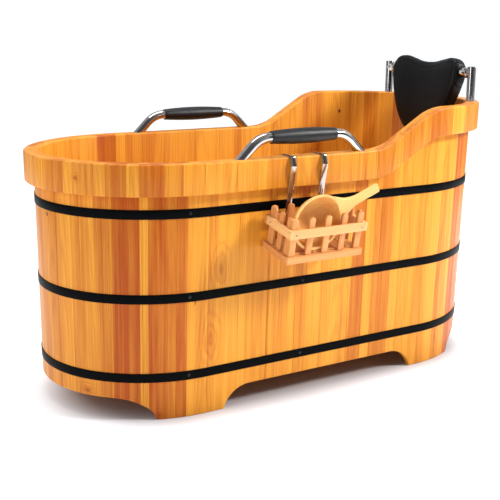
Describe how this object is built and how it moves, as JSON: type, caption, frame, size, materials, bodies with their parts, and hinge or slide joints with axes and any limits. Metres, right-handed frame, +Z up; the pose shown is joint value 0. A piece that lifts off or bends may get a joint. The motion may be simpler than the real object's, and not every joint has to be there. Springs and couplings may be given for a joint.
{
  "type": "wooden soaking tub",
  "caption": "Oblong coopered wooden bathtub with a raised head end, steel hoops, grab handles, a tilting head cushion, and a picket basket with a ladle hooked over the rim.",
  "frame": {"origin": "on the ground, under the middle of the whole part's outer box, basket included", "axes": "+X along the tub to the raised head end, -Y to the side with the basket, +Z up"},
  "size_m": [1.5024, 0.7976, 0.9418],
  "materials": {
    "stave_wood": "satin lacquer",
    "rim_wood": "satin lacquer",
    "floor_wood": "satin lacquer",
    "hoop_steel": "black paint",
    "stainless": "polished",
    "screw_steel": "dull",
    "grip_foam": "fine foam",
    "cushion_cover": "soft sheen",
    "sleeve_plastic": "matte",
    "basket_wood": "sanded",
    "ladle_wood": "sanded",
    "drain_metal": "polished",
    "seal_rubber": "matte",
    "plug_rubber": "matte"
  },
  "bodies": {
    "tub": {"drain_body": "drain_metal", "drain_flange": "drain_metal", "drain_lock_nut": "drain_metal", "drain_seal": "seal_rubber", "floor_batten_foot": "floor_wood", "floor_batten_head": "floor_wood", "floor_board_1": "floor_wood", "floor_board_2": "floor_wood", "floor_board_3": "floor_wood", "floor_board_4": "floor_wood", "floor_board_5": "floor_wood", "floor_board_6": "floor_wood", "handle_grip_far": "grip_foam", "handle_grip_near": "grip_foam", "handle_tube_far": "stainless", "handle_tube_near": "stainless", "headrest_post_far": "stainless", "headrest_post_near": "stainless", "hoop_bottom": "hoop_steel", "hoop_middle": "hoop_steel", "hoop_screws": "screw_steel", "hoop_top": "hoop_steel", "pivot_bar": "stainless", "pivot_collar_far": "stainless", "pivot_collar_near": "stainless", "rim_blocks_far_side": "rim_wood", "rim_blocks_foot_end": "rim_wood", "rim_blocks_head_end": "rim_wood", "rim_blocks_near_side": "rim_wood", "staves_far_side": "stave_wood", "staves_foot_end": "stave_wood", "staves_head_end": "stave_wood", "staves_near_side": "stave_wood"},
    "headrest": {"head_cushion": "cushion_cover", "cushion_sleeve": "sleeve_plastic"},
    "basket": {"basket_base_back": "basket_wood", "basket_base_front": "basket_wood", "basket_base_left": "basket_wood", "basket_base_right": "basket_wood", "basket_hook_left": "stainless", "basket_hook_right": "stainless", "basket_rail_back": "basket_wood", "basket_rail_front": "basket_wood", "basket_rail_left": "basket_wood", "basket_rail_right": "basket_wood", "basket_screws": "screw_steel", "basket_slat_1": "basket_wood", "basket_slat_2": "basket_wood", "basket_slat_3": "basket_wood", "basket_slat_4": "basket_wood", "basket_slat_5": "basket_wood", "basket_slat_6": "basket_wood", "pickets_back": "basket_wood", "pickets_front": "basket_wood", "pickets_left": "basket_wood", "pickets_right": "basket_wood"},
    "ladle": {"ladle": "ladle_wood"},
    "plug": {"drain_plug": "plug_rubber"}
  },
  "joints": [
    {"name": "headrest_tilt", "type": "hinge", "parent": "tub", "child": "headrest", "pos_m": [0.64003, 0.05652, 0.897], "axis": [0, 1, 0], "range_deg": [-7, 60]},
    {"name": "basket_lift_off", "type": "slide", "parent": "tub", "child": "basket", "axis": [0, -1, 0], "range_m": [0, 0.3]},
    {"name": "ladle_lift_out", "type": "slide", "parent": "basket", "child": "ladle", "axis": [0, -0.1905, 0.9817], "range_m": [0, 0.2]},
    {"name": "plug_lift_out", "type": "slide", "parent": "tub", "child": "plug", "axis": [0, 0, 1], "range_m": [0, 0.65]}
  ]
}
